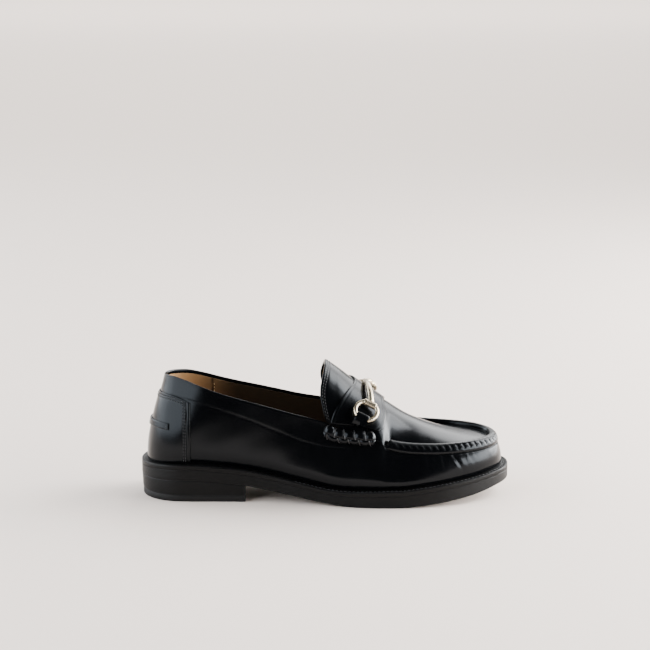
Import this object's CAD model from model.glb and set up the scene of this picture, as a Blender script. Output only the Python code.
import math

import bmesh
import bpy
import numpy as np
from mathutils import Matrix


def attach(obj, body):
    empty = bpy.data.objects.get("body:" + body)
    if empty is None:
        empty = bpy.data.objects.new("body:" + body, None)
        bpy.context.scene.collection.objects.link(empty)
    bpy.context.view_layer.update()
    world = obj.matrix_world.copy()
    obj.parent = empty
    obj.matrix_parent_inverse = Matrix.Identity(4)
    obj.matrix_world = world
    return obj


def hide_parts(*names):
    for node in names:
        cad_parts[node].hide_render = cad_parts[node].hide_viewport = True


# Looks of a bit loafer. Shapes are worked out in metres from the back of the heel: x along
# the shoe, y to the medial side, z up. makePiece moves them to the row frame.
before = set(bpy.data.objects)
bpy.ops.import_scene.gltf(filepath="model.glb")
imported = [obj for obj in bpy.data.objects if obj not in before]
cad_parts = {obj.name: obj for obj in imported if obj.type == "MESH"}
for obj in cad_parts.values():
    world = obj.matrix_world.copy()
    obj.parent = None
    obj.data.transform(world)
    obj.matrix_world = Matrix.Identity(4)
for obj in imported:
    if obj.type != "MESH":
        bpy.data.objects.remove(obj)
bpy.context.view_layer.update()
print("frame loaded")

last = {  # sizes that the pieces share
    "length": 0.300, "ballWidth": 0.106, "heelBlock": 0.0180, "toeSpring": 0.0128,
    "outsole": 0.0098, "topPiece": 0.0055, "welt": 0.0037, "ledge": 0.0056,
    "weltWidth": 0.0150, "backHeight": 0.0987, "instepHeight": 0.1108, "wall": 0.0020,
    "leather": 0.0013, "insole": 0.0035, "collarBack": 0.0197, "seamToe": 0.0085,
    "ridgeHeight": 0.0080, "ridgeWidth": 0.0078, "ridgeStart": 0.1962, "ridgeFull": 0.2030,
    "split": 0.1840, "clear": 0.0003, "strap": 0.0014, "heelBreast": 0.0865,
    "breastBow": 0.0060, "lowPull": 0.32, "highPull": 0.36, "tuck": 0.0040, "tuckHeight": 0.26,
}
rounds = {  # ends of the plan outlines: run to full width, and power (2 is an ellipse)
    "soleHeel": (0.037, 2.1), "soleToe": (0.088, 2.3), "collar": (0.036, 2.1), "seam": (0.066, 2.2),
}


def smoothCurve(xs, ys, at):
    # monotone cubic through the points (xs, ys): Hermite pieces with harmonic-mean slopes
    xs, ys, at = (np.asarray(values, float) for values in (xs, ys, at))
    step = np.diff(xs)
    slope = np.diff(ys) / step
    rising = slope[:-1] * slope[1:] > 0
    total = np.where(rising, slope[:-1] + slope[1:], 1.0)
    inner = np.where(rising, 2 * slope[:-1] * slope[1:] / total, 0.0)
    tangent = np.concatenate([slope[:1], inner, slope[-1:]])
    k = np.clip(np.searchsorted(xs, at, side="right") - 1, 0, len(step) - 1)
    u = np.clip((at - xs[k]) / step[k], 0, 1)
    start = (1 + 2 * u) * (1 - u) ** 2 * ys[k] + u * (1 - u) ** 2 * step[k] * tangent[k]
    end = u * u * (3 - 2 * u) * ys[k + 1] + u * u * (u - 1) * step[k] * tangent[k + 1]
    return start + end


class Table:
    # rows of named columns; the first column is the place, and the rest are read by it
    def __init__(self, columns, *rows):
        self.columns = columns.split()
        self.rows = np.array(rows, float)

    def read(self, column, at):
        return smoothCurve(self.rows[:, 0], self.rows[:, self.columns.index(column)], at)

    def side(self, lateral, at):
        return np.where(lateral, self.read("lateral", at), self.read("medial", at))


# sole from above: shares of the length, and of the width across the ball
solePlan = Table(
    "along lateral medial middle",
    (0.00, 0.322, 0.322, 0.000), (0.12, 0.326, 0.326, 0.000), (0.25, 0.330, 0.318, 0.000),
    (0.35, 0.356, 0.300, 0.004), (0.45, 0.413, 0.322, 0.010), (0.55, 0.470, 0.402, 0.014),
    (0.65, 0.508, 0.470, 0.016), (0.72, 0.506, 0.492, 0.018), (0.80, 0.496, 0.492, 0.026),
    (0.90, 0.468, 0.462, 0.036), (1.00, 0.440, 0.430, 0.044),
)
# sole from the side: shares of the heel block, of the toe spring and of the outsole
soleProfile = Table(
    "along lift spring thick",
    (0.00, 0.97, 0.00, 0.80), (0.12, 1.00, 0.00, 0.90), (0.23, 0.88, 0.00, 0.89),
    (0.29, 0.76, 0.00, 0.89), (0.35, 0.59, 0.00, 0.87), (0.42, 0.38, 0.00, 0.80),
    (0.50, 0.14, 0.00, 0.76), (0.55, 0.035, 0.00, 0.81), (0.585, 0.00, 0.00, 0.88),
    (0.70, 0.00, 0.00, 1.01), (0.75, 0.00, 0.10, 1.04), (0.82, 0.00, 0.27, 1.06),
    (0.90, 0.00, 0.54, 0.98), (0.97, 0.00, 0.90, 0.80), (1.00, 0.00, 1.00, 0.74),
)
# collar and foot of the apron seam from above: shares of the ball width
topPlan = Table(
    "along lateral medial",
    (0.06, 0.218, 0.218), (0.12, 0.232, 0.230), (0.20, 0.272, 0.262), (0.27, 0.292, 0.278),
    (0.35, 0.312, 0.290), (0.43, 0.332, 0.304), (0.50, 0.352, 0.324), (0.58, 0.378, 0.352),
    (0.66, 0.400, 0.382), (0.74, 0.402, 0.394), (0.83, 0.392, 0.390), (0.97, 0.372, 0.372),
)
# height of that edge: shares of the back height
topRise = Table(
    "along lateral medial",
    (0.055, 1.000, 1.000), (0.09, 1.005, 0.990), (0.12, 0.990, 0.978), (0.17, 0.940, 0.936),
    (0.23, 0.882, 0.884), (0.35, 0.785, 0.800), (0.43, 0.722, 0.742), (0.50, 0.668, 0.700),
    (0.53, 0.625, 0.662), (0.58, 0.592, 0.632), (0.62, 0.562, 0.602), (0.645, 0.530, 0.570),
    (0.667, 0.462, 0.505), (0.70, 0.436, 0.474), (0.74, 0.422, 0.446), (0.83, 0.412, 0.430),
    (0.92, 0.414, 0.426), (0.97, 0.418, 0.418),
)
# outward pull of the wall near its foot and near its edge: shares of the ball width. tuck
# says how far the foot is drawn in under the wall.
wallPull = Table(
    "along lowLateral lowMedial highLateral highMedial tuck",
    (0.00, 0.003, 0.003, 0.060, 0.060, 0.00), (0.10, 0.016, 0.016, 0.038, 0.038, 0.35),
    (0.25, 0.012, 0.014, 0.016, 0.016, 1.00), (0.42, 0.010, 0.020, 0.014, 0.018, 1.00),
    (0.55, 0.008, 0.020, 0.018, 0.026, 1.00), (0.70, 0.010, 0.016, 0.036, 0.044, 0.70),
    (0.85, 0.014, 0.018, 0.044, 0.048, 0.20), (1.00, 0.008, 0.008, 0.022, 0.022, 0.00),
)
# instep line: share of the instep height, and how flat the section's arch is
crownLine = Table(
    "along crown arch",
    (0.480, 1.012, 0.62), (0.495, 1.000, 0.62), (0.533, 0.934, 0.62), (0.567, 0.859, 0.63),
    (0.600, 0.793, 0.65), (0.633, 0.732, 0.68), (0.667, 0.668, 0.74), (0.715, 0.583, 0.86),
    (0.740, 0.551, 0.93), (0.783, 0.505, 1.00), (0.833, 0.466, 1.00), (0.883, 0.443, 1.00),
    (0.970, 0.416, 1.00),
)
# raised seam in section, from its foot outside to the apron
ridgeSection = Table(
    "around inward up",
    (0.000, 0.00, 0.00), (0.125, -0.06, 0.20), (0.250, 0.00, 0.50), (0.375, 0.17, 0.80),
    (0.500, 0.45, 0.98), (0.625, 0.72, 1.00), (0.750, 0.92, 0.86), (0.875, 0.98, 0.66),
    (1.000, 1.00, 0.46),
)
# edges of strap and tongue from the instep line, 0, to the seam, 1: shares of the length
strapEdges = Table(
    "across rear front tongue",
    (0.00, 0.5780, 0.6560, 0.5010), (0.10, 0.5770, 0.6565, 0.5005), (0.30, 0.5640, 0.6610, 0.4960),
    (0.60, 0.5380, 0.6550, 0.4870), (0.80, 0.5210, 0.6370, 0.4940), (1.00, 0.5120, 0.6220, 0.5060),
)


def smoothstep(low, high, at):
    # 3u^2 - 2u^3 between low and high
    u = np.clip((at - low) / (high - low), 0, 1)
    return u * u * (3 - 2 * u)


def spread(start, stop, count, tightStart=False, tightStop=False):
    # places from start to stop, cosine spaced towards an end that is tight
    f = np.linspace(0, 1, count + 1)
    if tightStart and tightStop:
        f = (1 - np.cos(np.pi * f)) / 2
    elif tightStart:
        f = 1 - np.cos(np.pi * f / 2)
    elif tightStop:
        f = np.sin(np.pi * f / 2)
    return start + (stop - start) * f


def endRound(fromEnd, which):
    # superellipse end: (1 - (1 - d / run)^p)^(1 / p)
    run, power = rounds[which]
    inward = np.clip(1 - np.asarray(fromEnd) / run, 0, 1)
    return (1 - inward**power) ** (1 / power)


def unfold(around):
    # heel 0 to toe 1 on the lateral side, and back to 2 on the medial side
    turned = np.mod(around, 2)
    return np.where(turned <= 1, turned, 2 - turned), turned <= 1


def unit(vectors):
    return vectors / np.linalg.norm(vectors, axis=-1, keepdims=True)


def outward(plan, around):
    # horizontal normal of a plan outline: its tangent turned by a quarter
    small = 1e-4
    run = unit(plan(around + small)[..., :2] - plan(around - small)[..., :2])
    return np.stack([run[..., 1], -run[..., 0], np.zeros(run.shape[:-1])], -1)


def underside(x):
    # height of the sole's underside: lift of the heel and waist + toe spring
    share = x / last["length"]
    lift = last["heelBlock"] * soleProfile.read("lift", share)
    return lift + last["toeSpring"] * soleProfile.read("spring", share)


def weltFoot(x):
    return underside(x) + last["outsole"] * soleProfile.read("thick", x / last["length"])


def seatHeight(x):
    return weltFoot(x) + last["clear"] + last["welt"]


def soleEdge(around):
    # plan outline of the sole: middle + half width * both end rounds
    along, lateral = unfold(around)
    x = last["length"] * along
    half = last["ballWidth"] * solePlan.side(lateral, along)
    half = half * endRound(x, "soleHeel") * endRound(last["length"] - x, "soleToe")
    y = last["ballWidth"] * solePlan.read("middle", along) + np.where(lateral, -half, half)
    return np.stack([x, y, np.zeros_like(x)], -1)


def soleInset(around, inset):
    return soleEdge(around) - np.asarray(inset)[..., None] * outward(soleEdge, around)


def edgeX(along):
    return last["collarBack"] + (last["length"] - last["seamToe"] - last["collarBack"]) * along


def edgeAlong(x):
    return (x - last["collarBack"]) / (last["length"] - last["seamToe"] - last["collarBack"])


def topEdge(around):
    # collar and foot of the apron seam in space
    along, lateral = unfold(around)
    x = edgeX(along)
    share = x / last["length"]
    half = last["ballWidth"] * topPlan.side(lateral, share)
    half = half * endRound(x - last["collarBack"], "collar")
    half = half * endRound(last["length"] - last["seamToe"] - x, "seam")
    middle = last["ballWidth"] * solePlan.read("middle", share)
    z = last["backHeight"] * topRise.side(lateral, share)
    return np.stack([x, middle + np.where(lateral, -half, half), z], -1)


def wall(around, up):
    # side of the upper: Bezier cubic foot, foot + pull, edge + pull, edge, with the foot
    # drawn in by tuck * (1 - up / tuckHeight)^2
    around, up = np.broadcast_arrays(around, up)
    along, lateral = unfold(around)
    tuck = last["tuck"] * wallPull.read("tuck", along)
    foot = soleInset(around, last["ledge"] - tuck)
    foot[..., 2] = seatHeight(foot[..., 0]) + last["clear"]
    top = topEdge(around)
    tall = (top - foot) * (0, 0, 1)
    low = np.where(lateral, *(wallPull.read("low" + s, along) for s in ("Lateral", "Medial")))
    high = np.where(lateral, *(wallPull.read("high" + s, along) for s in ("Lateral", "Medial")))
    nearFoot = foot + last["lowPull"] * tall
    nearFoot = nearFoot + last["ballWidth"] * low[..., None] * outward(soleEdge, around)
    nearTop = top - last["highPull"] * tall
    nearTop = nearTop + last["ballWidth"] * high[..., None] * outward(topEdge, around)
    u = up[..., None]
    start = (1 - u) ** 3 * foot + 3 * u * (1 - u) ** 2 * nearFoot
    drawn = tuck[..., None] * np.maximum(1 - u / last["tuckHeight"], 0) ** 2
    start = start - drawn * outward(soleEdge, around)
    return start + 3 * u * u * (1 - u) * nearTop + u**3 * top


def placeX(around):
    return edgeX(unfold(around)[0])


def ridgeShare(around, later=0.0):
    # how far the raised seam has grown, 0 behind the strap and 1 in front of it
    return smoothstep(last["ridgeStart"], last["ridgeFull"] + later, placeX(around))[..., None]


def ridge(around, across):
    # raised seam: edge - width * inward * normal + height * up
    around, across = np.broadcast_arrays(around, across)
    inward = -last["ridgeWidth"] * ridgeSection.read("inward", across)[..., None]
    up = last["ridgeHeight"] * ridgeSection.read("up", across)[..., None] * np.array([0, 0, 1.0])
    return topEdge(around) + ridgeShare(around) * (inward * outward(topEdge, around) + up)


def apron(along, across):
    # apron and tongue: chord between the seams + dome * |cos|^(2 * arch)
    along, across = np.broadcast_arrays(along, across)
    lateral, medial = ridge(along, 1.0), ridge(2 - along, 1.0)
    share = edgeX(along) / last["length"]
    sine = np.sin(np.pi * across / 2)[..., None]
    chord = lateral + (medial - lateral) * (1 + sine) / 2
    dome = last["instepHeight"] * crownLine.read("crown", share) - (lateral + medial)[..., 2] / 2
    dome = dome * endRound(last["length"] - last["seamToe"] - edgeX(along), "seam")
    arch = 2 * crownLine.read("arch", share)
    chord[..., 2] += dome * np.abs(np.cos(np.pi * across / 2)) ** arch
    return chord


def wallNormal(around, up):
    small = 1e-3
    run = wall(around + small, up) - wall(around - small, up)
    rise = wall(around, np.minimum(up + small, 1)) - wall(around, np.maximum(up - small, 0))
    return unit(np.cross(run, rise))


def apronNormal(along, across):
    # read a little inside the borders, where all sections end in one point
    small = 1e-3
    along, across = np.minimum(along, 0.985), np.clip(across, -0.97, 0.97)
    run = apron(along + small, across) - apron(along - small, across)
    rise = apron(along, across + small) - apron(along, across - small)
    return unit(np.cross(run, rise))


def wallAt(around, up, out):
    # the wall moved out along its normal
    around, up = np.broadcast_arrays(around, up)
    return wall(around, up) + np.asarray(out)[..., None] * wallNormal(around, up)


def apronAt(along, across, out):
    # the apron moved out along its normal
    along, across = np.broadcast_arrays(along, across)
    return apron(along, across) + np.asarray(out)[..., None] * apronNormal(along, across)


def aroundAt(x, up):
    # where the lateral wall passes x at that height, by repeated correction
    around = edgeAlong(np.asarray(x) + 0 * up)
    for _ in range(6):
        around = around + (x - wall(around, up)[..., 0]) / last["length"]
    return around


def strapAlong(share, across):
    # place along the apron at a share of the strap's width, from its rear edge
    rear = strapEdges.read("rear", np.abs(across))
    front = strapEdges.read("front", np.abs(across))
    return edgeAlong(last["length"] * (rear + (front - rear) * share))


def overStrap(share, across, lift):
    # point at a height over the strap's face
    return apronAt(strapAlong(share, across), across, last["clear"] + last["strap"] + lift)


def runLength(points):
    # arc length from the first point
    steps = np.linalg.norm(np.diff(points, axis=0), axis=-1)
    return np.concatenate([[0], np.cumsum(steps)])


def evenly(points, pitch):
    # points every pitch along a line, as places between 0 and 1
    run = runLength(points)
    count = max(int(run[-1] / pitch), 1)
    starts = np.arange(count) * run[-1] / count
    return np.interp(starts, run, np.linspace(0, 1, len(points)))


halfRound = np.linspace(0, 1, 600)
widest = soleEdge(halfRound)[:, 1].min(), soleEdge(2 - halfRound)[:, 1].max()
rowOrigin = np.array([last["length"] / 2, sum(widest) / 2, 0])


def bell(distance, width):
    return np.exp(-((distance / width) ** 2))


def allRound(stations):
    # the same stations on the lateral and medial sides, as one closed loop
    return np.concatenate([stations, 2 - stations[-2:0:-1]])


def addObject(name, data):
    thing = bpy.data.objects.new(name, data)
    bpy.context.scene.collection.objects.link(thing)
    return thing


def quads(rows, columns, first):
    # corners of the cells of a grid whose points are numbered row by row
    number = np.arange(rows * columns).reshape(rows, columns) + first
    corners = (number[:-1, :-1], number[:-1, 1:], number[1:, 1:], number[1:, :-1])
    return np.stack(corners, -1).reshape(-1, 4)


def makePiece(name, sheets, material, replaces=(), sharp=40, shades=None):
    # One object from grids of points whose borders meet. shades holds one grid of numbers
    # from 0 to 1 per sheet, kept as the point attribute shade.
    points = np.concatenate([sheet.reshape(-1, 3) for sheet in sheets]) - rowOrigin
    firsts = np.cumsum([0] + [sheet.shape[0] * sheet.shape[1] for sheet in sheets])
    faces = [quads(*sheet.shape[:2], first) for sheet, first in zip(sheets, firsts)]
    faces = np.concatenate(faces)
    mesh = bpy.data.meshes.new(name)
    mesh.vertices.add(len(points))
    mesh.vertices.foreach_set("co", points.astype(np.float32).ravel())
    mesh.loops.add(faces.size)
    mesh.loops.foreach_set("vertex_index", faces.astype(np.int32).ravel())
    mesh.polygons.add(len(faces))
    mesh.polygons.foreach_set("loop_start", np.arange(0, faces.size, 4, dtype=np.int32))
    mesh.update(calc_edges=True)
    shade = mesh.attributes.new("shade", "FLOAT", "POINT")
    if shades is not None:
        values = [np.broadcast_to(s, g.shape[:2]).ravel() for s, g in zip(shades, sheets)]
        shade.data.foreach_set("value", np.concatenate(values).astype(np.float32))
    weld = bmesh.new()
    weld.from_mesh(mesh)
    bmesh.ops.remove_doubles(weld, verts=weld.verts, dist=3e-6)
    bmesh.ops.dissolve_degenerate(weld, edges=weld.edges, dist=2e-6)
    bmesh.ops.recalc_face_normals(weld, faces=weld.faces)
    weld.to_mesh(mesh)
    weld.free()
    mesh.shade_smooth()
    mesh.set_sharp_from_angle(angle=math.radians(sharp))
    mesh.materials.append(material)
    piece = addObject(name, mesh)
    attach(piece, "root")
    if replaces:
        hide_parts(*replaces)


def border(grid):
    # the grid's border as one closed loop
    sides = (grid[0, :-1], grid[:-1, -1], grid[-1, :0:-1], grid[:0:-1, 0])
    loop = np.concatenate(sides)
    return np.concatenate([loop, loop[:1]])


def slab(levels):
    # solid between the first and last grids, with sides through the borders of all
    return [levels[0], levels[-1], np.array([border(level) for level in levels])]


def closedRows(sections):
    # each section with its first point again at its end
    return np.array([np.concatenate([s, s[:1]]) for s in sections])


def closedRing(sections):
    # sheet closed both ways, from equal closed sections
    rows = closedRows(sections)
    return np.concatenate([rows, rows[:1]])


def capped(rows):
    # closed rows with a cap at both ends, drawn to the middle of the row
    caps = [np.stack([row, np.broadcast_to(row[:-1].mean(0), row.shape)]) for row in rows[[0, -1]]]
    return [rows, *caps]


def roundEdge(thickness, radius, steps=4):
    # (inset, height) of a leather edge: square below, a quarter round above
    turn = np.linspace(0, np.pi / 2, steps)
    above = [(radius * (1 - math.cos(a)), thickness - radius * (1 - math.sin(a))) for a in turn]
    return [(0.0, 0.0)] + above


def stitches(name, path, out, size, material=None):
    # Short threads along a path with normals out; size is pitch, length and half thickness.
    # Each is an arched capsule:
    # middle + t * ahead + swell * (cos * beside + sin * normal) + lift * normal.
    pitch, length, thick = size
    place = evenly(path, pitch)
    grid = np.linspace(0, 1, len(path))

    def atPlaces(rows):
        return np.stack([np.interp(place, grid, rows[:, i]) for i in range(3)], -1)

    centre, normal = atPlaces(path), unit(atPlaces(out))
    ahead = unit(atPlaces(np.gradient(path, axis=0)))
    beside = np.cross(normal, ahead)
    t = np.linspace(-1, 1, 7)[None, :, None, None]
    turn = np.arange(7)[None, None, :, None] * 2 * np.pi / 6
    swell = np.sqrt(np.clip(1 - t**4, 0.0, 1)) * thick
    shape = centre[:, None, None] + t * length / 2 * ahead[:, None, None]
    shape = shape + swell * np.cos(turn) * beside[:, None, None]
    lift = thick * (0.9 - 1.3 * t**2) + swell * np.sin(turn)
    shape = shape + lift * normal[:, None, None]
    makePiece(name, list(shape), material or thread, sharp=80)


print("shape functions ready")

# Materials. grain, pores and clouds are the sizes of their patterns in metres.
finishes = {
    "leather": {"colour": (0.0012, 0.0014, 0.0018), "specular": 0.16, "tint": (0.86, 0.93, 1.0),
                "roughness": 0.19, "grain": 0.00045, "grainDepth": 0.05, "pores": 0.00028,
                "clouds": 0.030},
    "lining": {"colour": (0.39, 0.225, 0.10), "groove": 0.06, "specular": 0.20,
               "roughness": 0.50, "grain": 0.0009, "grainDepth": 0.10, "pores": 0.00045,
               "clouds": 0.018},
    "edge": {"colour": (0.0036, 0.0037, 0.0039), "specular": 0.12, "roughness": 0.42,
             "grain": 0.0012, "grainDepth": 0.14, "pores": 0.0006, "clouds": 0.025},
    "rubber": {"colour": (0.0050, 0.0050, 0.0052), "specular": 0.18, "roughness": 0.56,
               "grain": 0.0010, "grainDepth": 0.12, "pores": 0.0005, "clouds": 0.02},
    "brass": {"colour": (0.50, 0.43, 0.31), "roughness": 0.24, "metallic": 0.88},
    "thread": {"colour": (0.009, 0.0095, 0.011), "roughness": 0.40},
    "tan_thread": {"colour": (0.60, 0.40, 0.20), "roughness": 0.40},
}
finishes["smoothLeather"] = {**finishes["leather"], "roughness": 0.22, "grain": 0.0006,
                             "grainDepth": 0.04, "pores": 0.00030, "clouds": 0.020}


def startMaterial(name):
    material = bpy.data.materials.new(name)
    material.use_nodes = True
    nodes, links = material.node_tree.nodes, material.node_tree.links
    return material, nodes, links, nodes["Principled BSDF"]


def setInputs(node, values, source=None, socket=None):
    # sets the node's inputs, and links a source to one of them
    for key, value in values.items():
        node.inputs[key].default_value = value
    if source is not None:
        node.id_data.links.new(source, node.inputs[socket])
    return node


def leatherLike(name, stripes=None):
    # Colour clouds, pores and grain from Object coordinates. The point attribute shade
    # darkens and dulls grooves. stripes is the size of level layers, as in a stacked heel.
    look = finishes[name]
    material, nodes, links, shader = startMaterial(name)
    tint = look.get("tint", (1, 1, 1))
    setInputs(shader, {"Specular IOR Level": look["specular"], "Specular Tint": (*tint, 1)})
    place = nodes.new("ShaderNodeTexCoord")

    def pattern(kind, size, detail=2.0):
        values = {"Scale": 1 / size, "Detail": detail}
        return setInputs(nodes.new(kind), values, place.outputs["Object"], "Vector")

    def bump(height, strength, distance, before=None):
        values = {"Strength": strength, "Distance": distance}
        node = setInputs(nodes.new("ShaderNodeBump"), values, height, "Height")
        return setInputs(node, {}, before, "Normal").outputs["Normal"]

    def mixed(factor, shareA, shareB, before=None):
        # mix of the look's colour at two shares, the first of which a link may replace
        node = nodes.new("ShaderNodeMix")
        node.data_type = "RGBA"
        for key, share in (("A", shareA), ("B", shareB)):
            node.inputs[key].default_value = (*[min(c * share, 1) for c in look["colour"]], 1)
        setInputs(node, {}, factor, "Factor")
        return setInputs(node, {}, before, "A").outputs["Result"]

    clouds = pattern("ShaderNodeTexNoise", look["clouds"], 4.0).outputs["Fac"]
    shade = nodes.new("ShaderNodeAttribute")
    shade.attribute_name = "shade"
    grooved = mixed(shade.outputs["Fac"], 1, look.get("groove", 0.22), mixed(clouds, 0.80, 1.20))
    links.new(grooved, shader.inputs["Base Color"])

    values = {"To Min": look["roughness"] - 0.05, "To Max": look["roughness"] + 0.05}
    rough = setInputs(nodes.new("ShaderNodeMapRange"), values, clouds, "Value")
    dull = nodes.new("ShaderNodeMath")
    dull.operation = "MULTIPLY_ADD"
    setInputs(dull, {1: 0.35}, shade.outputs["Fac"], 0)
    links.new(rough.outputs["Result"], dull.inputs[2])
    links.new(dull.outputs["Value"], shader.inputs["Roughness"])

    grain = pattern("ShaderNodeTexNoise", look["grain"], 5.0)
    pores = pattern("ShaderNodeTexVoronoi", look["pores"])
    normal = bump(grain.outputs["Fac"], look["grainDepth"], 0.0004)
    normal = bump(pores.outputs["Distance"], look["grainDepth"] * 0.8, 0.0001, normal)
    if stripes:
        values = {"Scale": (0.05, 0.05, 1)}
        flat = setInputs(nodes.new("ShaderNodeMapping"), values, place.outputs["Object"], "Vector")
        wave = nodes.new("ShaderNodeTexWave")
        wave.wave_type, wave.bands_direction = "BANDS", "Z"
        values = {"Scale": 0.314 / stripes, "Distortion": 2.0, "Detail": 2.0}
        setInputs(wave, values, flat.outputs["Vector"], "Vector")
        normal = bump(wave.outputs["Fac"], 0.30, 0.0004, normal)
    links.new(normal, shader.inputs["Normal"])
    return material


def plainFinish(name):
    # one colour with fine scratches in roughness and bump
    look = finishes[name]
    material, nodes, links, shader = startMaterial(name)
    setInputs(shader, {"Base Color": (*look["colour"], 1), "Metallic": look.get("metallic", 0.0)})
    place = nodes.new("ShaderNodeTexCoord").outputs["Object"]
    values = {"Scale": 260, "Detail": 5}
    noise = setInputs(nodes.new("ShaderNodeTexNoise"), values, place, "Vector").outputs["Fac"]
    values = {"To Min": look["roughness"] - 0.07, "To Max": look["roughness"] + 0.09}
    rough = setInputs(nodes.new("ShaderNodeMapRange"), values, noise, "Value")
    values = {"Strength": 0.06, "Distance": 0.0003}
    relief = setInputs(nodes.new("ShaderNodeBump"), values, noise, "Height")
    links.new(rough.outputs["Result"], shader.inputs["Roughness"])
    links.new(relief.outputs["Normal"], shader.inputs["Normal"])
    return material


leather = leatherLike("leather")
smoothLeather = leatherLike("smoothLeather")
lining = leatherLike("lining")
soleEdgeInk = leatherLike("edge", stripes=0.0011)
rubber = leatherLike("rubber")
brass = plainFinish("brass")
thread = plainFinish("thread")
tanThread = plainFinish("tan_thread")
print("materials made")


# Upper. The seam's stitches are counted along its foot, and the pleats hang from them.
upperLook = {
    "wallRows": 64, "ridgeRows": 26, "apronColumns": 90, "rearSteps": 150, "frontSteps": 190,
    "innerRows": 10, "pitch": 0.0055, "slitDepth": 0.00050, "slitWidth": 0.00075,
    "slitLow": 0.28, "slitHigh": 0.36, "footGroove": 0.00055, "footWidth": 0.00070,
    "ridgeGirth": 0.011, "scallop": 0.00004, "smallPleat": 0.00006, "collarRoll": 0.0011,
    "collarSeamEnd": (0.160, 0.178), "collarStep": 0.00008, "collarGroove": 0.00011,
}
# pleats placed by hand: x where each meets the seam, depth in mm, length and width in mm, slant
handPleats = Table(
    "x depth length width slant",
    (0.2114, 0.22, 6, 1.2, 0.00), (0.2186, 0.14, 5, 1.2, 0.00), (0.2242, 0.20, 7, 1.1, 0.05),
    (0.2317, 0.36, 10, 1.2, 0.05), (0.2377, 0.22, 5, 1.1, 0.00), (0.2437, 0.28, 8, 1.2, 0.10),
    (0.2525, 0.34, 13, 1.7, 0.45), (0.2600, 0.14, 9, 1.8, 0.30), (0.2648, 0.24, 8, 1.6, 0.35),
    (0.2700, 0.14, 4, 1.2, 0.20),
)
# lower seam of the collar strip: share of the length, height as a share of the back height
collarSeam = Table(
    "along height",
    (0.06, 0.860), (0.13, 0.840), (0.285, 0.703), (0.375, 0.598), (0.463, 0.505), (0.520, 0.480),
    (0.60, 0.47),
)

seamRun = np.linspace(0, 2, 4001)
seamLength = runLength(topEdge(seamRun))


def alongSeam(around):
    # metres along the top edge, 0 at the toe's tip and negative on the lateral side
    return np.interp(np.mod(around, 2), seamRun, seamLength) - np.interp(1.0, seamRun, seamLength)


def pleatRelief(around, below):
    # Outward relief of the pleats under the seam, below in metres from its foot. Each is
    # -depth * exp(-u^2) with a lip beside it, u = (run - place - slant * below) / width.
    run = alongSeam(around)
    rise = 1 - np.exp(-below / 0.0012)
    total = np.zeros_like(below)
    for x, depth, length, width, slant in handPleats.rows:
        for ahead, share in ((1, 1.0), (-1, 0.75)):
            place = ahead * (alongSeam(edgeAlong(np.array(x))) + slant * below)
            u = (run - place) / (width * 1e-3)
            fade = np.exp(-((below / (length * 1e-3)) ** 2.2)) * rise
            fold = bell(u, 1) - 0.45 * bell(u + 1.7 * ahead, 1)
            total -= share * depth * 1e-3 * fade * fold
    between = 1 - np.cos(2 * np.pi * run / upperLook["pitch"])
    fade = np.exp(-((below / 0.0045) ** 1.6)) * rise
    total -= upperLook["smallPleat"] * fade * np.exp(-2.2 * between)
    start, full = last["ridgeStart"] - 0.004, last["ridgeFull"] + 0.010
    return total * smoothstep(start, full, placeX(around))


def seamRelief(around, across):
    # Slits where the seam's thread goes in, with scallops between them. Gives the relief
    # and how dark the place is.
    run = alongSeam(around)
    slant = (across - upperLook["slitLow"]) * 0.010 * np.sign(run)
    phase = (run - slant) / upperLook["pitch"]
    fromSlit = (phase - np.round(phase)) * upperLook["pitch"]
    band = smoothstep(upperLook["slitLow"] - 0.07, upperLook["slitLow"], across)
    band = band * (1 - smoothstep(upperLook["slitHigh"], upperLook["slitHigh"] + 0.07, across))
    slit = bell(fromSlit, upperLook["slitWidth"]) * band
    full = ridgeShare(around, 0.006)[..., 0]
    swell = upperLook["scallop"] * np.cos(2 * np.pi * phase) * np.sin(np.pi * across) ** 2
    return full * (-upperLook["slitDepth"] * slit - swell), full * slit


def smallWaves(points):
    # the hand of real leather: a few crossing sines, 0.1 mm high
    x, y, z = (points[..., i] for i in range(3))
    waves = np.sin(210 * x + 90 * z + 40 * y) + np.sin(120 * x - 260 * z)
    return 0.00004 * (waves + np.sin(330 * y + 150 * z + 1))


def wallStations():
    # places round the edge behind and in front of the point where the apron starts
    split = float(edgeAlong(last["split"]))
    rear = spread(0, split, upperLook["rearSteps"], tightStart=True)
    front = spread(split, 1, upperLook["frontSteps"], tightStop=True)
    return split, rear, front


def outerWall(around):
    # grid of the leather's outer wall with its relief, and how dark each point is
    up = np.linspace(0, 1, upperLook["wallRows"] + 1)
    plain = wall(around[:, None], up)
    below = np.linalg.norm(plain - topEdge(around)[:, None], axis=-1)
    x, z = plain[..., 0], plain[..., 2]
    fromSeam = z - last["backHeight"] * collarSeam.read("height", x / last["length"])
    strip = 1 - smoothstep(*upperLook["collarSeamEnd"], x)
    step = upperLook["collarStep"] * smoothstep(-0.0003, 0.0010, fromSeam)
    relief = pleatRelief(around[:, None], below)
    relief += strip * (step - upperLook["collarGroove"] * bell(fromSeam, 0.0009))
    full = ridgeShare(around)
    groove = bell(below, upperLook["footWidth"]) * full
    relief -= upperLook["footGroove"] * groove
    settle = smoothstep(0, 0.06, up) * smoothstep(0, 0.002, below + 0.002 * full)
    relief += smallWaves(plain) * settle
    dark = 0.55 * groove + strip * 0.4 * bell(fromSeam, 0.0005)
    dark = dark + 0.8 * (1 - smoothstep(0.0, 0.05, up))
    normals = wallNormal(around[:, None], up)
    return plain + relief[..., None] * normals, np.clip(dark, 0, 1)


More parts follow.
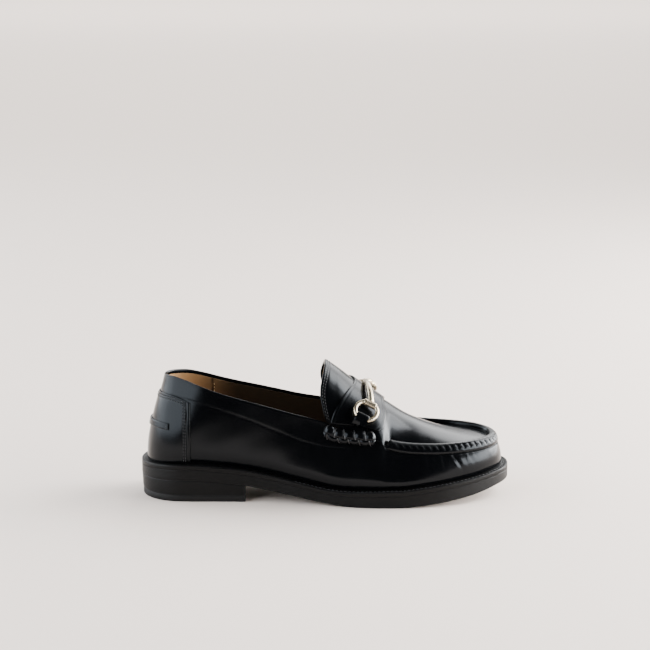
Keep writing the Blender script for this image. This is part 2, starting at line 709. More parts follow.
def buildUpper():
    split, rear, front = wallStations()
    stations = np.concatenate([rear, front[1:]])
    around = np.concatenate([stations, 2 - stations[-2::-1]])
    seam = np.concatenate([front, 2 - front[-2::-1]])
    outer, outerDark = outerWall(around)
    across = np.linspace(0, 1, upperLook["ridgeRows"] + 1)
    strip = ridge(seam[:, None], across)
    relief, slit = seamRelief(seam[:, None], across)
    full, sideNormal = ridgeShare(seam), wallNormal(seam, np.ones_like(seam))
    plain = ridge(seam[:, None], np.linspace(0.001, 0.999, len(across))) + 1e-9
    normals = np.nan_to_num(unit(np.cross(np.gradient(plain, axis=0), np.gradient(plain, axis=1))))
    strip = strip + relief[..., None] * normals
    footIn = bell(across * upperLook["ridgeGirth"], upperLook["footWidth"]) * full
    strip = strip - (upperLook["footGroove"] * footIn)[..., None] * sideNormal[:, None]
    inside = smoothstep(0.86, 1.0, across) * full
    start = smoothstep(0.30, 0.50, across) * (1 - smoothstep(0.232, 0.262, strip[..., 0]))
    start = 0.9 * start * unfold(seam)[1][:, None]
    stripDark = np.clip(slit * 0.9 + 0.55 * footIn + 0.8 * inside + start, 0, 1)

    columns = spread(-1, 1, upperLook["apronColumns"], True, True)
    fromMiddle, frontRow = np.abs(columns), front[:, None]
    plain = apron(frontRow, columns)
    edgeDark = np.maximum(smoothstep(0.955, 1, fromMiddle), smoothstep(0.985, 1, frontRow))
    settle = 1 - np.maximum(smoothstep(0.9, 1, fromMiddle), smoothstep(0.95, 1, frontRow))
    waves = smallWaves(plain) * settle * smoothstep(0, 0.02, frontRow - front[0])
    lifted = plain + waves[..., None] * apronNormal(frontRow, columns)
    apronDark = 0.8 * edgeDark * ridgeShare(front)

    # inner face of the leather, hidden by the lining
    up = np.linspace(0, 1, upperLook["innerRows"] + 1)
    inner = wallAt(around[:, None], up, -last["leather"])
    along, lateral = unfold(seam)
    both = unit(sideNormal + apronNormal(along, np.where(lateral, -1.0, 1.0)))
    reach = last["leather"] / np.maximum((sideNormal * both).sum(-1), 0.75)
    corner = (ridge(seam, 0.0) + ridge(seam, 1.0)) / 2 - reach[:, None] * both
    innerApron = apronAt(frontRow, columns, -last["leather"])
    steps = len(rear) - 1
    inner[steps : steps + len(seam), -1] = corner
    innerApron[:, 0], innerApron[:, -1] = corner[: len(front)], corner[: len(front) - 2 : -1]
    innerApron[-1] = corner[len(front) - 1]

    # rolled collar: half round from the outer edge to the inner one
    collar = np.concatenate([-rear[::-1], rear[1:]])
    outerEdge, innerEdge = (np.concatenate([side[-len(rear):, -1], side[1 : len(rear), -1]])[:, None]
                            for side in (outer, inner))
    turn = np.linspace(0, np.pi, 9)[None, :, None]
    rise = upperLook["collarRoll"] * smoothstep(0, 0.03, split - np.abs(collar))[:, None, None]
    rim = (outerEdge + innerEdge) / 2 + (outerEdge - innerEdge) / 2 * np.cos(turn)
    rim = rim + np.array([0, 0, 1]) * rise * np.sin(turn)
    throat = np.stack([lifted[0], (lifted[0] + innerApron[0]) / 2, innerApron[0]])
    foot = np.stack([outer[:, 0], inner[:, 0]])
    sheets = [outer, inner, strip, lifted, innerApron, foot, rim, throat]
    shades = [outerDark, 0, stripDark, apronDark, 0, 0, 0, 0]
    makePiece("upper_leather", sheets, leather, ["upper"], sharp=55, shades=shades)


buildUpper()
print("upper made")


# Lining: a thin skin inside the wall and under the apron, with the quarter seam
liningLook = {
    "top": 0.970, "topFront": 0.985, "rows": 40, "steps": 220, "gap": 0.00005, "seamX": 0.0570,
    "step": 0.00025, "seamWidth": 0.0007, "thread": (0.0026, 0.0018, 0.00022),
}


def buildLining():
    split, rear, front = wallStations()
    stations = np.concatenate([spread(0, split, liningLook["steps"] // 2, True), front[1::2]])
    around = allRound(stations)[:, None]
    full = smoothstep(last["split"] - 0.004, last["split"], placeX(around))
    top = liningLook["top"] + (liningLook["topFront"] - liningLook["top"]) * full
    up = top * np.linspace(0.02, 1, liningLook["rows"] + 1)[None, :]
    plain = wall(around, up)
    fromSeam = plain[..., 0] - liningLook["seamX"]
    step = smoothstep(-0.0002, 0.0002, fromSeam) * (1 - smoothstep(0.004, 0.012, fromSeam))
    inner = wallAt(around, up, 1.5 * smallWaves(plain) - last["wall"] - liningLook["step"] * step)
    back = wallAt(around, up, -last["leather"] - liningLook["gap"])
    groove = bell(fromSeam, liningLook["seamWidth"]) * (placeX(around) < 0.1)
    dark = 0.4 * groove + 0.25 * (1 - smoothstep(0.05, 0.8, up))
    dark = np.clip(dark + smoothstep(0.008, 0.080, plain[..., 0]), 0, 1)
    rows, rowsDark = (closedRing(np.concatenate(pair, axis=1))
                      for pair in ([inner, back[:, ::-1]], [dark, dark[:, ::-1]]))
    makePiece("lining_wall", [rows], lining, shades=[rowsDark])

    across = np.linspace(-0.93, 0.93, 50)
    along = spread(split, 0.97, 60)[:, None]
    depths = last["leather"] + liningLook["gap"], last["wall"]
    levels = [apronAt(along, across, -depth) for depth in depths]
    makePiece("lining_apron", slab(levels), lining, shades=[0.9] * 3)


buildLining()
print("lining made")


# Sole: welt, outsole, stacked heel, top piece and sock
soleLook = {
    "stations": 220, "bead": 0.0010, "dip": 0.0007, "bevel": 0.0012, "heelSteps": 90,
    "heelColumns": 24, "heelTaper": 0.0010, "heelGroove": 0.0005, "stitchInset": 0.0034,
    "thread": (0.0034, 0.0023, 0.00040),
}


def soleStations(count):
    return spread(0, 1, count, True, True)


def planGrid(stations, inset, height, columns, bow=0.0):
    # grid across the sole at a height; bow draws its last station back at the middle
    lateral, medial = soleInset(stations, inset), soleInset(2 - stations, inset)
    across = np.linspace(0, 1, columns)[:, None]
    grid = lateral[:, None] * (1 - across) + medial[:, None] * across
    drawn = (stations / stations[-1])[:, None] ** 4 * 4 * (across * (1 - across))[:, 0]
    grid[..., 0] -= bow * drawn
    grid[..., 2] = height(grid[..., 0])
    return grid


def over(surface, rise):
    # a surface's height, raised
    return lambda x: surface(x) + rise


def buildWelt():
    around = allRound(soleStations(soleLook["stations"]))
    bead, dip, top = soleLook["bead"], soleLook["dip"], last["welt"]
    turn = np.linspace(0, np.pi / 2, 6)
    section = [(last["weltWidth"], 0.0), (0.0002, 0.0), (0.0001, 0.0001)]
    section += [(0.0, 0.0003), (0.0, top - bead)]
    section += [(bead - bead * math.cos(a), top - bead + bead * math.sin(a)) for a in turn[1:]]
    section += [(1.5 * bead, top - 0.0001), (2.1 * bead, top - 0.6 * dip), (2.8 * bead, top - dip)]
    section += [(last["ledge"] - 0.8 * bead, top - dip), (last["ledge"], top - 0.2 * dip)]
    section += [(last["weltWidth"], top)]
    dark = [0, 0.3, 0.1] + [0] * 9 + [0.2, 0.35, 0.8, 1.0, 0]
    loops = [soleInset(around, inset) for inset, _ in section]
    for loop, (_, lift) in zip(loops, section):
        loop[..., 2] = weltFoot(loop[..., 0]) + last["clear"] + lift
    makePiece("welt_strip", [closedRing(loops)], soleEdgeInk, ["welt"],
              shades=[np.array(dark)[:, None]])


def buildOutsole():
    bevel = soleLook["bevel"]
    levels = [(0.4 * bevel, over(underside, 0)), (0.15 * bevel, over(underside, 0.12 * bevel)),
              (0.0, over(underside, 0.5 * bevel)), (0.0, over(underside, 2 * bevel)),
              (0.0, over(weltFoot, -0.5 * bevel)), (0.0, over(weltFoot, -0.25 * bevel)),
              (0.0001, over(weltFoot, -0.1 * bevel)), (0.0001, over(weltFoot, 0.7 * last["clear"]))]
    stations = soleStations(soleLook["stations"])
    grids = [planGrid(stations, inset, height, 12) for inset, height in levels]
    dark = np.array([0.1, 0.1, 0, 0, 0, 0, 0.1, 0.3])[:, None]
    makePiece("outsole_leather", slab(grids), soleEdgeInk, ["outsole"],
              shades=[0, 0.5, dark])


def heelGrid(inset, height):
    stop = (last["heelBreast"] - 0.6 * inset) / last["length"]
    stations = spread(0, stop, soleLook["heelSteps"], tightStart=True)
    return planGrid(stations, inset, height, soleLook["heelColumns"], last["breastBow"])


def buildHeel():
    taper, groove, foot = soleLook["heelTaper"], soleLook["heelGroove"], last["topPiece"]

    def level(z):
        return over(np.zeros_like, z)

    stack = [(taper + 0.0001, level(foot)), (taper, level(foot + 0.0002)),
             (0.6 * taper, level(foot + 3 * groove)), (0.2 * taper, over(underside, -2 * groove)),
             (0.2 * taper, over(underside, -0.0002)),
             (0.2 * taper + 0.0001, over(underside, -0.00003))]
    makePiece("heel_lifts", slab([heelGrid(*row) for row in stack]), soleEdgeInk,
              ["heel_stack"], shades=[0, 0, np.array([0.2, 0, 0, 0, 0, 0.2])[:, None]])
    piece = [(taper + 0.0010, level(0.0)), (taper + 0.0003, level(0.0003)),
             (taper, level(0.0010)), (taper, level(foot - 0.0002)),
             (taper + 0.0001, level(foot - 0.00003))]
    makePiece("heel_rubber", slab([heelGrid(*row) for row in piece]), rubber,
              ["heel_top_piece"])


def buildSock():
    edge = last["ledge"] + last["wall"] + 2 * last["clear"]
    core, clear, thick = last["weltWidth"] + last["clear"], last["clear"], last["insole"]
    levels = [(core, over(weltFoot, clear)), (core, over(seatHeight, clear)),
              (edge, over(seatHeight, clear)), (edge, over(seatHeight, clear + 0.7 * thick)),
              (edge + 0.0004, over(seatHeight, clear + 0.9 * thick)),
              (edge + 0.0014, over(seatHeight, clear + thick))]
    stations = soleStations(120)
    grids = [planGrid(stations, inset, height, 40) for inset, height in levels]
    dark = 0.3 + 0.6 * smoothstep(0.02, 0.15, grids[-1][..., 0])
    makePiece("sock", slab(grids), lining, ["insole"], shades=[0.5, dark, 0.5])


buildWelt()
buildOutsole()
buildHeel()
buildSock()
print("sole made")


# Tongue and strap
tongueLook = {
    "end": 0.950, "columns": 90, "rows": 60, "thickness": 0.0020, "lining": 0.00045,
    "fromEdge": 0.0019, "apart": 0.0017, "groove": 0.00020, "thread": (0.0026, 0.0019, 0.00026),
    "edge": ((0.0006, 0.0), (0.0001, 0.0005), (0.0, 0.0011), (0.0001, 0.0016), (0.0005, 0.0020)),
}
strapLook = {
    "endRear": 0.925, "endFront": 0.750, "rows": 50, "columns": 110, "width": 0.0234,
    "halfGirth": 0.04, "edge": 0.0006, "crease": 0.0016, "creaseDepth": 0.00012,
}


def buildTongue():
    across = np.linspace(-tongueLook["end"], tongueLook["end"], tongueLook["columns"])
    front = edgeAlong(last["split"] - last["clear"])
    rear = edgeAlong(last["length"] * strapEdges.read("tongue", np.abs(across)))
    share = np.linspace(0, 1, tongueLook["rows"])[:, None]
    levels, perMetre = [], 1.1 / last["length"]
    for inset, height in tongueLook["edge"]:
        start = rear + inset * perMetre
        along = start + (front - start) * share
        levels.append(apronAt(along, across, height - tongueLook["thickness"]))
    fromEdge = (levels[-1][..., 0] - levels[-1][:1, :, 0])
    rows = [tongueLook["fromEdge"] + number * tongueLook["apart"] for number in (0, 1)]
    lines = sum(bell(fromEdge - row, 0.0005) for row in rows)
    relief = smallWaves(levels[-1]) * smoothstep(0, 0.004, fromEdge) - tongueLook["groove"] * lines
    levels[-1] = levels[-1] + relief[..., None] * apronNormal(along, across)
    makePiece("tongue_leather", slab(levels), leather, ["tongue"], sharp=50,
              shades=[0, 0.5 * np.clip(lines, 0, 1), 0])
    deep = np.linspace(-0.93, 0.93, 60)
    rearIn = edgeAlong(last["length"] * strapEdges.read("tongue", np.abs(deep)))
    rearIn = rearIn + 0.0022 / last["length"]
    skins = [apronAt(rearIn + (front - rearIn) * share, deep, -tongueLook["thickness"] - depth)
             for depth in (0.00003, tongueLook["lining"])]
    makePiece("tongue_lining", slab(skins), lining, shades=[0.3] * 3)
    for number, row in enumerate(rows):
        inside, along = across[3:-3], rear[3:-3] + row * perMetre
        path = apronAt(along, inside, -tongueLook["groove"] * 1.1)
        normal = apronNormal(along, inside)
        stitches(f"tongue_stitches_{number}", path, normal, tongueLook["thread"])


def buildStrap():
    share = np.linspace(0, 1, strapLook["rows"])[:, None]
    levels, width = [], strapLook["width"]
    for inset, height in roundEdge(last["strap"], strapLook["edge"], 5):
        s = inset / width + (1 - 2 * inset / width) * share
        end = strapLook["endRear"] + (strapLook["endFront"] - strapLook["endRear"]) * s
        across = (end - inset / strapLook["halfGirth"]) * np.linspace(-1, 1, strapLook["columns"])
        levels.append(apronAt(strapAlong(s, across), across, last["clear"] + height))
    fromEdge = np.minimum(s, 1 - s) * width
    crease = bell(fromEdge - strapLook["crease"], 0.00035) * np.ones_like(across)
    relief = smallWaves(levels[-1]) * 0.7 - strapLook["creaseDepth"] * crease
    levels[-1] = levels[-1] + relief[..., None] * apronNormal(strapAlong(s, across), across)
    makePiece("strap_leather", slab(levels), smoothLeather, ["saddle_strap"],
              sharp=50, shades=[0, 0.45 * crease, 0])


buildTongue()
buildStrap()
print("tongue and strap made")


# Beef rolls: a padded roll in two rows of lumps, wrapped with waxed thread
rollLook = {
    "back": 0.1495, "front": 0.1900, "height": 0.0050, "half": 0.0062, "dropRear": 0.0056,
    "dropFront": 0.0025, "seat": 0.0005, "lumps": 5, "steps": 200, "columns": 40,
    "thread": 0.00050, "threadRows": ((0.03, 0.60), (0.58, 0.97)), "threadLean": 0.22,
}


def overEdge(around, beyond):
    # point of the leather at a distance from the wall's top edge, down the wall if negative
    around, beyond = np.broadcast_arrays(around, beyond)
    along, lateral = unfold(around)
    side = np.where(lateral, -1.0, 1.0)
    small = 0.03
    edge = wall(around, 1.0)
    down = np.linalg.norm(wall(around, 1 - small) - edge, axis=-1) / small
    inward = np.linalg.norm(apron(along, side * (1 - small)) - edge, axis=-1) / small
    lower = wall(around, 1 + np.minimum(beyond, 0) / down)
    upper = apron(along, side * (1 - np.maximum(beyond, 0) / inward))
    return np.where(beyond[..., None] < 0, lower, upper)


def rollFrame(side, run):
    # middle line of the roll's flat back, with its upward and outward directions
    along = edgeAlong(rollLook["back"] + (rollLook["front"] - rollLook["back"]) * run)
    around = along if side < 0 else 2 - along
    drop = rollLook["dropRear"] + (rollLook["dropFront"] - rollLook["dropRear"]) * run
    skin = overEdge(around[:, None], rollLook["half"] * np.linspace(-1, 1, 7) - drop[:, None])
    middle = (skin[:, 0] + skin[:, -1]) / 2
    ahead = np.gradient(middle, axis=0)
    out = unit(np.cross(skin[:, -1] - skin[:, 0], ahead)) * side
    upward = unit(np.cross(ahead, out)) * side
    swell = ((skin - middle[:, None]) * out[:, None]).sum(-1).max(1)
    return middle + (swell + rollLook["seat"])[:, None] * out, upward, out


def rollShape(run, angle):
    # Size of the roll, as a share, at a place and at an angle from its upper edge: lumps
    # |sin|^0.55 in two rows, half a lump apart, with a furrow between the rows.
    run, angle = np.broadcast_arrays(run, angle)
    upperRow = np.abs(np.sin(np.pi * rollLook["lumps"] * run)) ** 0.55
    lowerRow = np.abs(np.cos(np.pi * rollLook["lumps"] * run)) ** 0.55
    low = smoothstep(0.50 * np.pi, 0.66 * np.pi, angle)
    full = upperRow * (1 - low) + lowerRow * low
    furrow = 1 - 0.16 * np.exp(-(((angle - 0.60 * np.pi) / 0.13) ** 2))
    ends = np.minimum(smoothstep(-0.02, 0.07, run), smoothstep(-0.02, 0.07, 1 - run))
    return (0.70 + 0.30 * full) * furrow * (0.25 + 0.75 * np.sqrt(ends)), 1 - full


def rollPoint(side, run, angle):
    # middle + half width * size * cos * upward + height * size * sin^0.8 * out
    middle, upward, out = rollFrame(side, run)
    size, _ = rollShape(run[:, None], angle)
    wide = rollLook["half"] * size[..., None] * np.cos(angle)[..., None] * upward[:, None]
    tall = (rollLook["height"] * size * np.sin(angle) ** 0.8)[..., None] * out[:, None]
    return middle[:, None] + wide + tall


def buildRoll(side, word):
    run = np.linspace(0, 1, rollLook["steps"])
    angle = np.linspace(0, np.pi, rollLook["columns"])[None, :]
    face = rollPoint(side, run, angle + 0 * run[:, None])
    _, tight = rollShape(run[:, None], angle)
    makePiece(f"roll_{word}", capped(closedRows(face)), leather,
              [f"beef_roll_{word}"], sharp=60,
              shades=[closedRows(np.clip(tight**2 * 0.9, 0, 1)), 0, 0])
    # threads: one over each dip of both rows, as a tube along the roll's own face
    sheets = []
    turn = (np.arange(9) * 2 * np.pi / 8)[None, :, None]
    dips = np.arange(1, rollLook["lumps"]), np.arange(rollLook["lumps"]) + 0.5
    ends = rollLook["threadRows"]
    for dip, (begin, end) in [(dip, ends[row]) for row in (0, 1) for dip in dips[row]]:
        sweep = np.linspace(begin, end, 16) * np.pi
        lean = (dip + rollLook["threadLean"] * np.linspace(-0.5, 0.5, 16)) / rollLook["lumps"]
        path = [rollPoint(side, np.array([r - 1e-3, r, r + 1e-3]), np.array([[a]] * 3))[1, 0]
                for r, a in zip(lean, sweep)]
        path = np.array(path)
        out = rollFrame(side, np.array([lean[0] - 0.01, lean[8], lean[-1] + 0.01]))[2]
        ahead = unit(np.gradient(path, axis=0))
        beside = unit(np.cross(ahead, unit(path - (path.mean(0) - 0.004 * out[1]))))
        away = np.cross(beside, ahead)[:, None]
        ring = np.cos(turn) * away + np.sin(turn) * beside[:, None]
        sheets.append(path[:, None] + 0.0002 * away + rollLook["thread"] * ring)
    makePiece(f"roll_thread_{word}", sheets, thread, sharp=80)


for side, word in ((-1, "lateral"), (1, "medial")):
    buildRoll(side, word)
print("rolls made")


# Bit: rings, jointed bars with barrels, and the leather tabs that hold the rings
bitLook = {
    "ringAcross": 0.57, "eyesAcross": 0.38, "low": 0.715, "high": 0.400, "radius": 0.0088,
    "wire": 0.0017, "ringRise": 0.0012, "tab": 0.0009, "tabWidth": 0.0105, "tabFoot": 0.835,
    "liftBar": 0.0054, "barrel": 0.0027,
    "barrelLength": 0.0106, "barrelIn": 0.0015, "bar": 0.0026, "taper": 0.25, "eyesSide": 0.22,
    "pull": 0.32, "lean": 0.45, "eye": 0.0017, "eyeWire": 0.0007, "tabSlope": 0.0026,
}
tabHole = bitLook["wire"] + 1.5 * last["clear"]


def ringFrame(side):
    # centre, downward, forward and outward directions of a ring
    lift = last["clear"] + bitLook["tab"] + tabHole + bitLook["ringRise"]
    low = overStrap(bitLook["ringAcross"], side * bitLook["low"], lift)
    high = overStrap(bitLook["ringAcross"], side * bitLook["high"], bitLook["liftBar"])
    down = unit(low - high)
    middle = overStrap(bitLook["ringAcross"], side * (bitLook["low"] + bitLook["high"]) / 2, 0.0)
    out = (low + high) / 2 - middle
    out = unit(out - down * (out @ down))
    return low - down * bitLook["radius"], down, np.cross(down, out) * side, out


def ringPoint(ring, turn, radius):
    centre, down, along, _ = ring
    return centre + radius * (np.cos(turn)[..., None] * down + np.sin(turn)[..., None] * along)


def wireRing(ring, radius, wire, steps, sides):
    # torus: centre + radius * away + wire * (cos * away + sin * out)
    turns = np.arange(steps + 1) * 2 * np.pi / steps
    angle = (np.arange(sides + 1) * 2 * np.pi / sides)[None, :, None]
    middle = ringPoint(ring, turns, radius)
    away = unit(middle - ring[0])
    return middle[:, None] + wire * (np.cos(angle) * away[:, None] + np.sin(angle) * ring[3])


def roundTube(path, radius, hint, sides=24):
    # capped tube along a path; its section starts on the side of hint
    ahead = unit(np.gradient(path, axis=0))
    out = unit(hint - ahead * (ahead @ hint)[:, None])
    wide = np.cross(ahead, out)
    angle = (np.arange(sides) * 2 * np.pi / sides)[None, :, None]
    radius = np.broadcast_to(radius, (len(path),))[:, None, None]
    around = np.cos(angle) * out[:, None] + np.sin(angle) * wide[:, None]
    return capped(closedRows(path[:, None] + radius * around))


def buildBit(side, word):
    ring = ringFrame(side)
    torus = wireRing(ring, bitLook["radius"], bitLook["wire"], 96, 24)
    makePiece(f"ring_{word}", [torus], brass, [f"bit_ring_{word}"], sharp=80)
    # the bars' eyes cross at a point past the crown, each leaning by 45 degrees
    eyeLift = last["clear"] + bitLook["eye"] / math.sqrt(2) + bitLook["eyeWire"]
    crossing = overStrap(bitLook["eyesAcross"], bitLook["eyesSide"], eyeLift)
    above = unit(crossing - overStrap(bitLook["eyesAcross"], bitLook["eyesSide"], 0.0))
    across = side * unit(np.cross(above, (1.0, 0.0, 0.0)))
    leaning = unit(above - np.cross(above, across))
    eye = (crossing + across * bitLook["eye"] / 2, across, leaning, np.cross(across, leaning))
    start = ringPoint(ring, np.array(np.pi), bitLook["radius"])
    stop = crossing + 1.5 * bitLook["eye"] * across
    pull = bitLook["pull"] * np.linalg.norm(stop - start)
    u = np.linspace(0, 1, 60)[:, None]
    leaving = unit(ring[1] + bitLook["lean"] * ring[2])
    path = (1 - u) ** 3 * start + u**3 * stop + 3 * u * (1 - u) ** 2 * (start - pull * leaving)
    path = path + 3 * u * u * (1 - u) * (stop + pull * across)
    radius = bitLook["bar"] * (1 - bitLook["taper"] * smoothstep(0.3, 1, u[:, 0]))
    sheets = roundTube(path, radius, ring[3])
    sheets.append(wireRing(eye, bitLook["eye"], bitLook["eyeWire"], 40, 14))
    # barrel: a straight sleeve over the wire, with rounded ends
    half = bitLook["barrelLength"] / 2
    t = np.array([-1, -0.99, -0.95, -0.88, -0.80, 0.80, 0.88, 0.95, 0.99, 1])
    fat = np.array([0.70, 0.84, 0.95, 1.0, 0.985, 0.985, 1.0, 0.95, 0.84, 0.70]) * bitLook["barrel"]
    centre = start + bitLook["barrelIn"] * ring[1]
    sheets += roundTube(centre + t[:, None] * half * ring[2], fat, ring[3], 32)
    makePiece(f"bar_{word}", sheets, brass, [f"bit_bar_{word}"], sharp=50)


def buildTab(side, word):
    # a strip folded round the ring: each section runs from its foot round the wire and back
    ring = ringFrame(side)
    _, down, along, out = ring
    low = ringPoint(ring, np.array(0.0), bitLook["radius"])
    half = bitLook["tabWidth"] / 2
    slack = bitLook["radius"] - math.sqrt(bitLook["radius"] ** 2 - half**2)
    foldAt = slack + last["clear"]
    turn = np.linspace(-np.pi / 2, np.pi / 2, 16)
    tab = bitLook["tab"]
    rear, front = (strapEdges.read(edge, bitLook["tabFoot"]) for edge in ("rear", "front"))
    rows = []
    for place in np.linspace(-1, 1, 13):
        share = bitLook["ringAcross"] + place * half / (float(front - rear) * last["length"])
        underFoot, overFoot = (overStrap(share, side * bitLook["tabFoot"], last["clear"] + lift)
                               for lift in (0.0, 2 * tab))
        reach = tabHole + tab * (1 - 0.35 * abs(place) ** 8)
        arc = [(foldAt + reach * math.cos(a), reach * math.sin(a)) for a in turn]
        arc += [(-tabHole * 0.6, reach * 0.99), (-reach, reach * 0.7),
                (-reach - bitLook["tabSlope"], 0)]
        curve = [low - d * down + h * out + place * half * along for d, h in arc]
        rows.append([underFoot, *curve, overFoot, underFoot])
    makePiece(f"tab_{word}", capped(np.array(rows)), smoothLeather,
              [f"ring_tab_{word}"], sharp=55)


for side, word in ((-1, "lateral"), (1, "medial")):
    buildBit(side, word)
    buildTab(side, word)
print("bit made")


# Counter and heel strip, with their stitches. perAround and perUp are the metres that a step
# of 1 in the wall's two parameters is long there.
backLook = {"perAround": 0.289698, "perUp": 0.065, "threadPerAround": 0.29}
counterLook = {
    "front": 0.0420, "foot": 0.012, "leather": 0.0008, "edge": 0.0005, "fold": 0.0028,
    "foldHeight": 0.00030, "grooveDepth": 0.00035, "sewnDepth": 0.00012, "columns": 150,
    "rows": 90, "fromFold": 0.0012, "apart": 0.0016, "fromTop": 0.0017,
    "thread": (0.0025, 0.0018, 0.00025),
}
counterTop = Table("around top", (0.00, 0.815), (0.50, 0.810), (1.00, 0.785))
stripLook = {
    "front": 0.0248, "up": 0.455, "height": 0.0052, "leather": 0.0012, "edge": 0.0005,
    "stitchInset": 0.0016, "thread": (0.0015, 0.0011, 0.00022),
}


def roundBack(front, up, turn):
    # places round the heel, from front to front as turn goes from -90 to 90 degrees
    return aroundAt(front, up) * np.sign(turn) * (1 - np.cos(turn))


def buildCounter():
    levels, turn = [], np.linspace(-np.pi / 2, np.pi / 2, counterLook["columns"])
    for inset, height in roundEdge(counterLook["leather"], counterLook["edge"], 4):
        share = np.linspace(counterLook["foot"], 1 - inset / 0.055, counterLook["rows"])[:, None]
        up = share * counterTop.read("top", 1 - np.cos(turn))
        around = roundBack(counterLook["front"], up, turn) * (1 - inset / 0.040)
        levels.append(wallAt(around, up, last["clear"] + height))
    edge = aroundAt(counterLook["front"], up)
    fold = counterLook["fold"]
    fromFront = (edge - np.abs(around)) * backLook["perAround"]
    top = counterTop.read("top", np.clip(np.abs(around) / edge, 0, 1))
    groove = bell(fromFront - fold - 0.0001, 0.00035)
    rows = [(fold + counterLook["fromFold"] + number * counterLook["apart"],
             counterLook["fromTop"] * (1 + number)) for number in (0, 1)]
    sewn = 0
    for inset, down in rows:
        sewn = sewn + bell(fromFront - inset, 0.00045)
        sewn = sewn + bell((top - up) * backLook["perUp"] - down, 0.00045) * (fromFront > fold)
    relief = smoothstep(fold + 0.0002, fold - 0.0006, fromFront)
    relief = counterLook["foldHeight"] * relief * np.sin(np.pi * np.clip(fromFront / fold, 0, 1))
    relief = relief - counterLook["grooveDepth"] * groove
    relief = relief - counterLook["sewnDepth"] * np.clip(sewn, 0, 1) + smallWaves(levels[-1])
    levels[-1] = levels[-1] + relief[..., None] * wallNormal(around, up)
    makePiece("counter_leather", slab(levels), leather, ["counter"], sharp=50,
              shades=[0, np.clip(0.8 * groove + 0.75 * sewn, 0, 1), 0])

    def sew(name, place, up):
        path = wallAt(place, up, last["clear"] + counterLook["leather"])
        stitches(name, path, wallNormal(place, up), counterLook["thread"])

    # down both front edges, then along the top
    for number, (inset, down) in enumerate(rows):
        up = np.linspace(0.06, 0.96, 80) * counterTop.read("top", 1.0)
        place = aroundAt(counterLook["front"], up) - inset / backLook["threadPerAround"]
        for side in (1, -1):
            sew(f"counter_stitches_{number}_{side + 1}", side * place, up)
        turn = np.linspace(-1.42, 1.42, 160)
        up = counterTop.read("top", 1 - np.cos(turn)) - down / backLook["perUp"]
        sew(f"counter_top_stitches_{number}", roundBack(counterLook["front"], up, turn), up)


def buildStrip():
    small = 0.01
    ends = wall(0.0, stripLook["up"] + small), wall(0.0, stripLook["up"] - small)
    half = stripLook["height"] / np.linalg.norm(ends[0] - ends[1]) * small
    under, levels = 2 * last["clear"] + counterLook["leather"], []
    turn = np.linspace(-np.pi / 2, np.pi / 2, 80)
    for inset, height in roundEdge(stripLook["leather"], stripLook["edge"], 4):
        tall = half * (1 - 2 * inset / stripLook["height"])
        up = stripLook["up"] + tall * np.linspace(-1, 1, 14)[:, None]
        around = roundBack(stripLook["front"], up, turn) * (1 - inset / 0.02)
        levels.append(wallAt(around, up, under + height))
    makePiece("heel_strip", slab(levels), leather, ["heel_tab"], sharp=50)
    up = stripLook["up"] + half * np.linspace(-0.72, 0.72, 12)
    inset = stripLook["stitchInset"] / backLook["threadPerAround"]
    for side in (1, -1):
        place = side * (aroundAt(stripLook["front"], up) - inset)
        path = wallAt(place, up, under + stripLook["leather"])
        stitches(f"strip_stitches_{side + 1}", path, wallNormal(place, up), stripLook["thread"])


buildCounter()
buildStrip()
print("counter and heel strip made")


# Welt stitches round the forefoot, and the lining's quarter seam
def buildWeltStitches():
    path = soleInset(np.linspace(0.42, 1.58, 900), soleLook["stitchInset"])
    path[..., 2] = weltFoot(path[..., 0]) + last["clear"] + last["welt"] - soleLook["dip"]
    out = np.zeros_like(path) + (0, 0, 1)
    stitches("welt_stitches", path, out, soleLook["thread"])


def buildLiningStitches():
    up = np.linspace(0.45, 0.94, 60)
    for side in (1, -1):
        place = side * aroundAt(liningLook["seamX"] + 0.0012, up)
        path = wallAt(place, up, -last["wall"] - 0.0003)
        stitches(f"lining_stitches_{side + 1}", path, -wallNormal(place, up), liningLook["thread"],
                 tanThread)


buildWeltStitches()
buildLiningStitches()
print("stitches made")


# Camera, floor and light
viewLook = {"distance": 1.6, "pitch": 12.0, "aim": (0, 0, 0.1386), "lens": 109.5, "sensor": 36.0}


def aimAt(thing, target):
    # turns the thing's -Z to the target, with its Y up
    place = np.array(thing.location)
    back = unit(place - np.array(target))
    thing.rotation_euler = (math.acos(back[2]), 0, math.atan2(back[0], -back[1]))


pitch = math.radians(viewLook["pitch"])
back = np.array([0, -math.cos(pitch), math.sin(pitch)])
camera = addObject("camera", bpy.data.cameras.new("camera"))
camera.location = np.array(viewLook["aim"]) + viewLook["distance"] * back
aimAt(camera, viewLook["aim"])
camera.data.lens, camera.data.sensor_width = viewLook["lens"], viewLook["sensor"]
bpy.context.scene.camera = camera

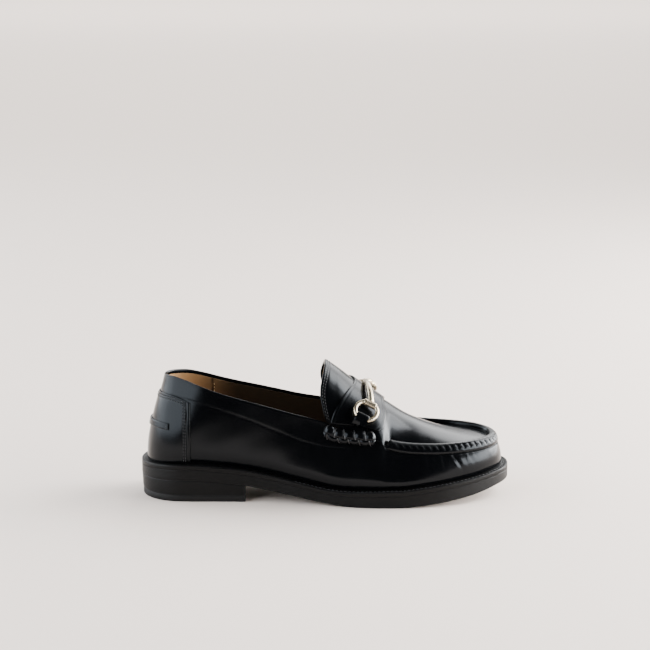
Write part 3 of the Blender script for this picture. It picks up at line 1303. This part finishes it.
# pale sheet under the shoe, and the dark studio floor in front of its edge
floorLook = {"front": -0.39, "reach": 30, "pale": (0.80, 0.70, 0.63), "dark": (0.02, 0.02, 0.02)}
reach = floorLook["reach"]
corners = [(x, y, 0) for y in (-reach, floorLook["front"], reach) for x in (-reach, reach)]
floorMesh = bpy.data.meshes.new("floor")
floorMesh.from_pydata(corners, [], [(0, 1, 3, 2), (2, 3, 5, 4)])
for tone in ("dark", "pale"):
    paint, _, _, shader = startMaterial(f"floor_{tone}")
    values = {"Base Color": (*floorLook[tone], 1), "Roughness": 0.8, "Specular IOR Level": 0.1}
    setInputs(shader, values)
    floorMesh.materials.append(paint)
floorMesh.polygons[1].material_index = 1
addObject("floor", floorMesh)

# lamps: place, aim and power, with a size in metres or, for suns, a spread in degrees
warm, cool = (1.0, 0.995, 0.99), (0.90, 0.95, 1.0)
toeAim, heelAim = (0.13, 0, 0.05), (-0.12, 0, 0.06)
lamps = {
    "key": ((1.52, 0.58, 0.98), (0.05, 0, 0.04), 86, (1.1, 1.6), warm),
    "fill": ((1.60, -0.02, 0.92), (0.05, 0, 0.04), 42, (1.3, 1.6), warm),
    "toe": ((1.20, -0.40, 0.26), toeAim, 26, (1.0, 0.50), warm),
    "low": ((1.30, 0.66, 0.25), toeAim, 30, (1.2, 0.5), warm),
    "far": ((0.0, 4.0, 2.4), (0.0, 4.4, 0.0), 320, (7.0, 4.6), warm),
    "farther": ((0.0, 8.6, 2.4), (0.0, 9.0, 0.0), 520, (9.0, 4.8), warm),
    "left": ((-1.60, -0.98, 0.80), heelAim, 58, (1.9, 1.5), cool),
    "rear": ((-1.90, 0.60, 0.78), heelAim, 76, (2.1, 1.5), cool),
    "overhead": ((1.26, 2.70, 1.98), (0, 0, 0), 1.5, 38, (1, 1, 1)),
    "behind": ((0.3, 3.0, 1.35), (0, 0, 0), 0.5, 50, (1, 1, 1)),
}
for name, (place, target, power, size, colour) in lamps.items():
    sun = name in ("overhead", "behind")
    lamp = bpy.data.lights.new(name, "SUN" if sun else "AREA")
    lamp.energy, lamp.color = power, colour
    if sun:
        lamp.angle = math.radians(size)
    else:
        lamp.shape, lamp.size, lamp.size_y = "RECTANGLE", *size
    light = addObject(name, lamp)
    light.location = place
    aimAt(light, target)

world = bpy.data.worlds.new("studio")
world.use_nodes = True
bpy.context.scene.world = world
setInputs(world.node_tree.nodes["Background"], {"Color": (0.93, 0.95, 1.0, 1), "Strength": 0.02})
print("stage made")
